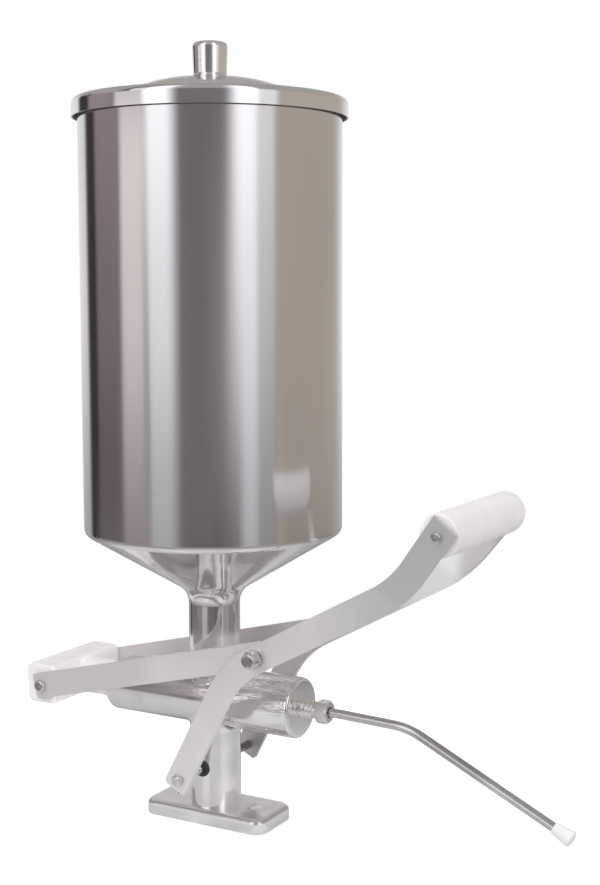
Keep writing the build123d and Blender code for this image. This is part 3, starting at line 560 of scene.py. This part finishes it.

# %% [markdown]
# ## Base plate
#
# The base is a thick aluminium plate, ground flat, rounded at its upper edge and drilled for two
# mounting screws. The holes are real holes in the solid. Their walls and a narrow rim are painted
# pale, a painted light where the holes look bright. A mask for them could be painted by hand, but
# that needs an image. The distance from each hole's middle says the same and turns the mirror off
# there. A thin darker line is painted along the rounded edge, and the sides are painted paler than
# the top, a painted light.

# %% Base plate
hole_offset = 0.032
hole_light_radius = 0.004
top_colour = (0.79, 0.78, 0.77, 1.0)
top_shade = (0.72, 0.705, 0.695, 1.0)
side_colour = (0.87, 0.865, 0.86, 1.0)
side_shade = (0.81, 0.80, 0.795, 1.0)
edge_colour = (0.42, 0.41, 0.405, 1.0)
hole_light_colour = (0.93, 0.925, 0.92, 1.0)
base_low, base_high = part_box("base_plate")
base_middle = (base_low[0] + base_high[0]) / 2

buffed_plate, board = finish("buffed_plate")
swell = grain(board, 0.016)
stain = grain(board, 0.012, detail=3.0).rise(0.42, 0.72)
scuffs = grain(board, (0.012, 0.0006, 0.0012)).rise(0.6, 0.75)
x, y, z = spot(board)
below_top = base_high[2] - z
to_hole = (((x - base_middle).size() - hole_offset) ** 2.0 + y * y) ** 0.5
# painted light: the hole walls and a narrow rim are painted pale and not metallic
hole_light = to_hole.rise(hole_light_radius, hole_light_radius - 0.0004)
ground_top = board.blend(stain, top_colour, top_shade)
painted_light_side = board.blend(stain, side_colour, side_shade)
# painted light: the sides are painted paler than the top
skin = board.blend(below_top.rise(0.0010, 0.0028), ground_top, painted_light_side)
# a thin darker line is painted along the rounded edge
skin = board.blend(0.55 * below_top.within(0.0003, 0.0009, 0.0022, 0.0030), skin, edge_colour)
surface(
    board,
    Base_Color=board.blend(hole_light, skin, hole_light_colour),
    Metallic=0.82 * (1.0 - hole_light),
    Roughness=0.16 + 0.07 * stain + 0.05 * scuffs,
    Normal=bump(board, swell - 0.02 * scuffs, 0.00025),
)
dress(buffed_plate, "base_plate")

# %% [markdown]
# ## Turned funnel and knob
#
# The funnel under the hopper and the knob on the lid come from the lathe and are polished while
# they turn, so their marks are rings at one height. They need no ring texture: noise of the height
# alone makes them. The funnel is the brightest mirror of all and still swells a little, as spun
# and polished metal does.

# %% Funnel and knob
knob_colour = (0.80, 0.795, 0.785, 1.0)
knob_shade = (0.72, 0.71, 0.70, 1.0)

turned_cone, board = finish("turned_cone")
_, _, z = spot(board)
rings = turning(board, z, 0.0011)
swell = grain(board, 0.03, detail=1.0)
stain = grain(board, 0.02, detail=3.0).rise(0.42, 0.72)
surface(
    board,
    Base_Color=board.blend(stain, aluminium_colour, aluminium_shade),
    Metallic=1.0,
    Roughness=0.05 + 0.04 * rings + 0.02 * stain,
    Normal=bump(board, 0.03 * rings + swell, 0.0003),
)
dress(turned_cone, "hopper_funnel")

turned_knob, board = finish("turned_knob")
_, _, z = spot(board)
rings = turning(board, z, 0.0004)
surface(
    board,
    Base_Color=board.blend(rings.rise(0.35, 0.7), knob_colour, knob_shade),
    Metallic=1.0,
    Roughness=0.08 + 0.05 * rings,
    Normal=bump(board, rings, 0.00002),
)
dress(turned_knob, "lid_knob")

# %% [markdown]
# ## Satin bar of the lever and links
#
# The lever plates and links are sawn from flat aluminium bar and only brushed, so they scatter
# light like matt silver paper. A higher roughness with a fine short grain gives that, and a few
# darker scuffs keep the broad faces from looking sprayed. Soft masks do the rest, and most of them
# are painted light and shade: the near plate is painted greyer towards the grip, a painted shade,
# the links are darker towards the crosshead, and the far plate is painted pale along its arm, a
# painted light, with a painted shadow beside the grip and painted shade down by the axle. The
# inside of the near plate's leg is painted pale too, a painted light, and the barrel mirrors it.

# %% Satin bar
bar_colour = (0.86, 0.835, 0.840, 1.0)
bar_shade = (0.79, 0.765, 0.770, 1.0)
near_arm_shade_colour = (0.685, 0.680, 0.695, 1.0)
painted_light_colour = (0.985, 0.975, 0.97, 1.0)
grip_shadow_colour = (0.70, 0.675, 0.655, 1.0)
crosshead_end_colour = (0.755, 0.728, 0.722, 1.0)
axle_shade_colour = (0.60, 0.58, 0.58, 1.0)
leg_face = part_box("lever_plate_near")[1][1]

satin_bar, board = finish("satin_bar")
brushing = grain(board, (0.010, 0.0004, 0.0009), detail=3.0, turn=(0.0, math.radians(-12.0), 0.0))
scuffs = grain(board, (0.02, 0.004, 0.006), detail=3.0).rise(0.56, 0.74)
clouds = grain(board, 0.035).rise(0.35, 0.7)
x, y, z = spot(board)
near_side = y.rise(0.004, -0.004)
far_side = y.rise(-0.004, 0.004)
# painted shade: the near plate is painted greyer towards the grip, where its bent end faces the room
# differently
near_arm_shade = near_side * x.rise(0.105, 0.158)
# painted light: the far plate is painted pale along its arm
pale_arm = far_side * x.within(0.118, 0.136, 0.160, 0.172)
# painted shadow: the far plate is darker beside the grip, under it
grip_shadow = far_side * x.rise(0.163, 0.175)
# painted shade: the far plate's lower end by the axle is darkened
axle_shade = far_side * z.rise(0.075, 0.055) * x.rise(-0.03, -0.02)
# painted light: the inside of the near plate's leg is painted pale and almost not metallic
leg_inside = (y - leg_face).within(-0.0023, -0.0011, 0.0005, 0.0035) * z.rise(0.128, 0.120)
# the links are darker towards their crosshead end
link_darkening = x.rise(-0.016, -0.042)
brushed = board.blend(0.55 * clouds + 0.35 * scuffs, bar_colour, bar_shade)
brushed = board.blend(near_arm_shade, brushed, near_arm_shade_colour)
brushed = board.blend(pale_arm.larger(leg_inside), brushed, painted_light_colour)
brushed = board.blend(grip_shadow, brushed, grip_shadow_colour)
brushed = board.blend(0.8 * link_darkening, brushed, crosshead_end_colour)
brushed = board.blend(0.7 * axle_shade, brushed, axle_shade_colour)
surface(
    board,
    Base_Color=brushed,
    Metallic=0.72 - 0.25 * pale_arm - 0.7 * leg_inside,
    Roughness=0.40 + 0.07 * brushing + 0.04 * scuffs,
    Normal=bump(board, brushing, 0.000012),
)
dress(satin_bar, "lever_plate_near", "lever_plate_far", "link_near", "link_far")

# %% [markdown]
# ## Screws and axle
#
# Bought-in screws, nuts and washers are zinc bright: mirrors with a fine tumble texture from the
# plating barrel. Each could have its own finish, but plating is done by the bucket, so one serves
# them all. Only the far end of the axle differs: between post and plate it is painted almost
# black, a painted shade for the narrow gap there, and a mask across the machine says where.

# %% Screws and axle
zinc_colour = (0.74, 0.735, 0.725, 1.0)
zinc_shade = (0.60, 0.595, 0.585, 1.0)
axle_gap_shade_colour = (0.22, 0.215, 0.21, 1.0)

bright_hardware, board = finish("bright_hardware")
tumble = grain(board, 0.0008, detail=3.0)
dull = grain(board, 0.003).rise(0.4, 0.7)
_, y, z = spot(board)
# painted shade: hardware in the gap between post and far plate is painted almost black
axle_gap_shade = y.within(0.016, 0.020, 0.044, 0.048) * z.rise(0.055, 0.050)
plating = board.blend(dull, zinc_colour, zinc_shade)
surface(
    board,
    Base_Color=board.blend(0.85 * axle_gap_shade, plating, axle_gap_shade_colour),
    Metallic=1.0,
    Roughness=0.08 + 0.10 * tumble + 0.06 * dull,
    Normal=bump(board, tumble, 0.00003),
)
dress(
    bright_hardware,
    "base_screws", "grip_screws", "lever_axle", "axle_caps", "pivot_bolts",
    "pivot_nuts", "pivot_washers", "spacer_washers", "link_screws", "plunger_screw", "knob_screw",
    "knob_washer",
)

# %% [markdown]
# ## Plug, nozzle and fittings
#
# The plug in the barrel is turned aluminium. Nipple and union nut are nickel bright and a little
# yellower than zinc, and the ferrule inside the nut is bare brass. The nozzle is a drawn tube, with
# the fine lines of the die along it, and past its bend it is painted darker, a painted shade that
# dims the reflection there. One grey metal could serve them all, but side by side on a bench they
# are easy to tell apart, by colour and by grain.

# %% Fittings
plug_colour = (0.86, 0.85, 0.84, 1.0)
plug_shade = (0.78, 0.77, 0.76, 1.0)
nickel_colour = (0.80, 0.785, 0.75, 1.0)
nickel_shade = (0.70, 0.685, 0.65, 1.0)
tube_colour = (0.61, 0.605, 0.585, 1.0)
tube_shade = (0.52, 0.515, 0.495, 1.0)
tube_painted_shade = (0.42, 0.41, 0.385, 1.0)
brass_colour = (0.80, 0.62, 0.30, 1.0)
brass_shade = (0.66, 0.50, 0.24, 1.0)

turned_plug, board = finish("turned_plug")
dull = grain(board, 0.003).rise(0.4, 0.7)
surface(
    board,
    Base_Color=board.blend(dull, plug_colour, plug_shade),
    Metallic=1.0,
    Roughness=0.30 + 0.10 * dull,
)
dress(turned_plug, "side_plug")

nickel_fitting, board = finish("nickel_fitting")
tumble = grain(board, 0.0012)
dull = grain(board, 0.006).rise(0.4, 0.7)
surface(
    board,
    Base_Color=board.blend(dull, nickel_colour, nickel_shade),
    Metallic=1.0,
    Roughness=0.22 + 0.06 * tumble + 0.05 * dull,
    Normal=bump(board, tumble, 0.00001),
)
dress(nickel_fitting, "outlet_nipple", "nozzle_nut")

drawn_tube, board = finish("drawn_tube")
drawing = grain(board, (0.03, 0.0006, 0.0006), turn=(0.0, math.radians(20.0), 0.0))
x, _, _ = spot(board)
# painted shade: the tube is painted darker past its bend, dimming the reflection there
past_bend = x.within(0.150, 0.162, 0.198, 0.214)
drawn = board.blend(drawing.rise(0.35, 0.7), tube_colour, tube_shade)
surface(
    board,
    Base_Color=board.blend(past_bend, drawn, tube_painted_shade),
    Metallic=1.0,
    Roughness=0.18 + 0.06 * drawing,
    Normal=bump(board, drawing, 0.000006),
)
dress(drawn_tube, "nozzle_tube")

bare_brass, board = finish("bare_brass")
dull = grain(board, 0.002, detail=3.0)
surface(
    board,
    Base_Color=board.blend(dull, brass_colour, brass_shade),
    Metallic=1.0,
    Roughness=0.24 + 0.10 * dull,
)
dress(bare_brass, "nozzle_ferrule")

# %% [markdown]
# ## A tree that grows a thread
#
# A stretch of coarse, rounded thread shows between the pump and the union nut. It could be turned
# with a Screw modifier. A thread is one profile carried along a helix, so Geometry Nodes say it
# directly: a spiral, a small circle, and Curve to Mesh between them. The inputs are named, so the
# same tree would cut a finer or a longer thread.

# %% Thread tree
points_per_turn = 40
points_on_crest = 14
thread_inputs = {
    "Radius": "NodeSocketFloat",
    "Length": "NodeSocketFloat",
    "Turns": "NodeSocketFloat",
    "Crest": "NodeSocketFloat",
    "Finish": "NodeSocketMaterial",
}

thread_tree = bpy.data.node_groups.new("thread", "GeometryNodeTree")
thread_sockets = {
    name: thread_tree.interface.new_socket(name=name, in_out="INPUT", socket_type=kind).identifier
    for name, kind in thread_inputs.items()
}
thread_tree.interface.new_socket(name="Geometry", in_out="OUTPUT", socket_type="NodeSocketGeometry")
thread = Board(thread_tree)
asked = thread.outputs("NodeGroupInput")
helix = thread.add(
    "GeometryNodeCurveSpiral",
    {},
    {
        "Resolution": points_per_turn,
        "Rotations": asked["Turns"],
        "Start Radius": asked["Radius"],
        "End Radius": asked["Radius"],
        "Height": asked["Length"],
    },
)
profile = thread.add(
    "GeometryNodeCurvePrimitiveCircle",
    {},
    {"Resolution": points_on_crest, "Radius": asked["Crest"]},
)
swept = thread.add(
    "GeometryNodeCurveToMesh", {}, {"Curve": helix, "Profile Curve": profile, "Fill Caps": True}
)
solid = thread.add("GeometryNodeRealizeInstances", {}, {"Geometry": swept})
dressed = thread.add("GeometryNodeSetMaterial", {}, {"Geometry": solid, "Material": asked["Finish"]})
thread.add("NodeGroupOutput", {}, {"Geometry": dressed})
print("thread inputs:", ", ".join(thread_sockets))

# %% [markdown]
# ## Thread on the outlet nipple
#
# The thread runs from the pump's end to the nut, both of which the frame knows. A modifier could
# stay live on the piece. It is applied instead, so that the result is a plain mesh in its place,
# which rides on the frame of the machine like the nipple itself.

# %% Thread on the nipple
thread_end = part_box("nozzle_nut")[0][0]
collar_radius = (nipple_high[1] - nipple_low[1]) / 2
thread_crest = 0.0011
crest_sink = 0.0004
end_gap = 1.2 * thread_crest
thread_values = {
    "Radius": collar_radius - crest_sink,
    "Length": thread_end - barrel_end - 2 * end_gap,
    "Turns": 3.0,
    "Crest": thread_crest,
    "Finish": nickel_fitting,
}

carrier = bpy.data.objects.new("thread_carrier", bpy.data.meshes.new("thread_carrier"))
bpy.context.scene.collection.objects.link(carrier)
modifier = carrier.modifiers.new("thread", "NODES")
modifier.node_group = thread_tree
for name, value in thread_values.items():
    modifier[thread_sockets[name]] = value
grown = carrier.evaluated_get(bpy.context.evaluated_depsgraph_get())
thread_mesh = bpy.data.meshes.new_from_object(grown)
carrier.modifiers.remove(modifier)
bpy.data.objects.remove(carrier)
thread_mesh.transform(
    Matrix.Translation((barrel_end + end_gap, 0.0, pump_axis))
    @ Matrix.Rotation(math.radians(90.0), 4, "Y")
)
thread_mesh.shade_smooth()
nipple_thread = bpy.data.objects.new("nipple_thread", thread_mesh)
bpy.context.scene.collection.objects.link(nipple_thread)
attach(nipple_thread, "frame")
print("thread faces:", len(thread_mesh.polygons))

# %% [markdown]
# ## White nylon
#
# Grip, crosshead and plunger are turned and milled from white nylon, which keeps faint tool marks
# and lets light in. Subsurface scattering gives the soft edges. Light that enters on one side and
# leaves on the other would need many samples to render, so the two faces that the room shines
# through, the crosshead's towards the barrel and the grip's towards the hopper, glow very slightly
# instead.

# %% Nylon
nylon_colour = (0.935, 0.905, 0.89, 1.0)
nylon_shade = (0.89, 0.86, 0.84, 1.0)
nylon_glow = (1.0, 0.99, 0.97, 1.0)
bar_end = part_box("crosshead")[1][0]
grip_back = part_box("lever_grip")[0][0]

milled_nylon, board = finish("milled_nylon")
mottle = grain(board, 0.012, detail=3.0).rise(0.35, 0.7)
tool_marks = grain(board, 0.0012, detail=3.0)
x, _, _ = spot(board)
bar_glow = (x - bar_end).within(-0.005, -0.0002, 0.0003, 0.0008)
grip_glow = (x - grip_back).within(-0.001, 0.0, 0.002, 0.010)
surface(
    board,
    Base_Color=board.blend(mottle, nylon_colour, nylon_shade),
    Emission_Color=board.blend(bar_glow + 0.5 * grip_glow, grey(0.0), nylon_glow),
    Emission_Strength=0.24,
    Roughness=0.42 + 0.10 * tool_marks,
    Normal=bump(board, tool_marks, 0.00004),
    Subsurface_Weight=0.35,
    Subsurface_Radius=(0.009, 0.009, 0.008),
    Subsurface_Scale=1.0,
)
dress(milled_nylon, "lever_grip", "crosshead", "plunger")

# %% [markdown]
# ## Tip, bush and seals
#
# The tip is a softer moulded plastic, white and smooth. The bush around the axle is black and
# slightly glossy from oil, and the rubber seals are dull with a grey bloom. Plain colours would do
# for pieces this small. A little speckle keeps them from looking like holes in the picture.

# %% Tip, bush and seals
tip_colour = (0.92, 0.92, 0.915, 1.0)
tip_shade = (0.87, 0.87, 0.86, 1.0)
bush_colour = (0.022, 0.022, 0.023, 1.0)
bush_speckle = (0.045, 0.044, 0.043, 1.0)
rubber_colour = (0.028, 0.028, 0.028, 1.0)
rubber_bloom = (0.055, 0.054, 0.052, 1.0)

moulded_tip, board = finish("moulded_tip")
mottle = grain(board, 0.006)
surface(
    board,
    Base_Color=board.blend(mottle, tip_colour, tip_shade),
    Roughness=0.34 + 0.08 * mottle,
    Subsurface_Weight=0.15,
    Subsurface_Radius=(0.003, 0.003, 0.003),
    Subsurface_Scale=1.0,
)
dress(moulded_tip, "nozzle_tip")

black_bush, board = finish("black_bush")
speckle = grain(board, 0.0007)
surface(
    board,
    Base_Color=board.blend(speckle, bush_colour, bush_speckle),
    Roughness=0.38 + 0.16 * speckle,
    Normal=bump(board, speckle, 0.00002),
)
dress(black_bush, "axle_bushes")

seal_rubber, board = finish("seal_rubber")
bloom = grain(board, 0.002, detail=3.0)
surface(
    board,
    Base_Color=board.blend(bloom, rubber_colour, rubber_bloom),
    Roughness=0.62 + 0.15 * bloom,
    Normal=bump(board, bloom, 0.00002),
)
dress(seal_rubber, "funnel_seal", "shell_seal", "plunger_seals")
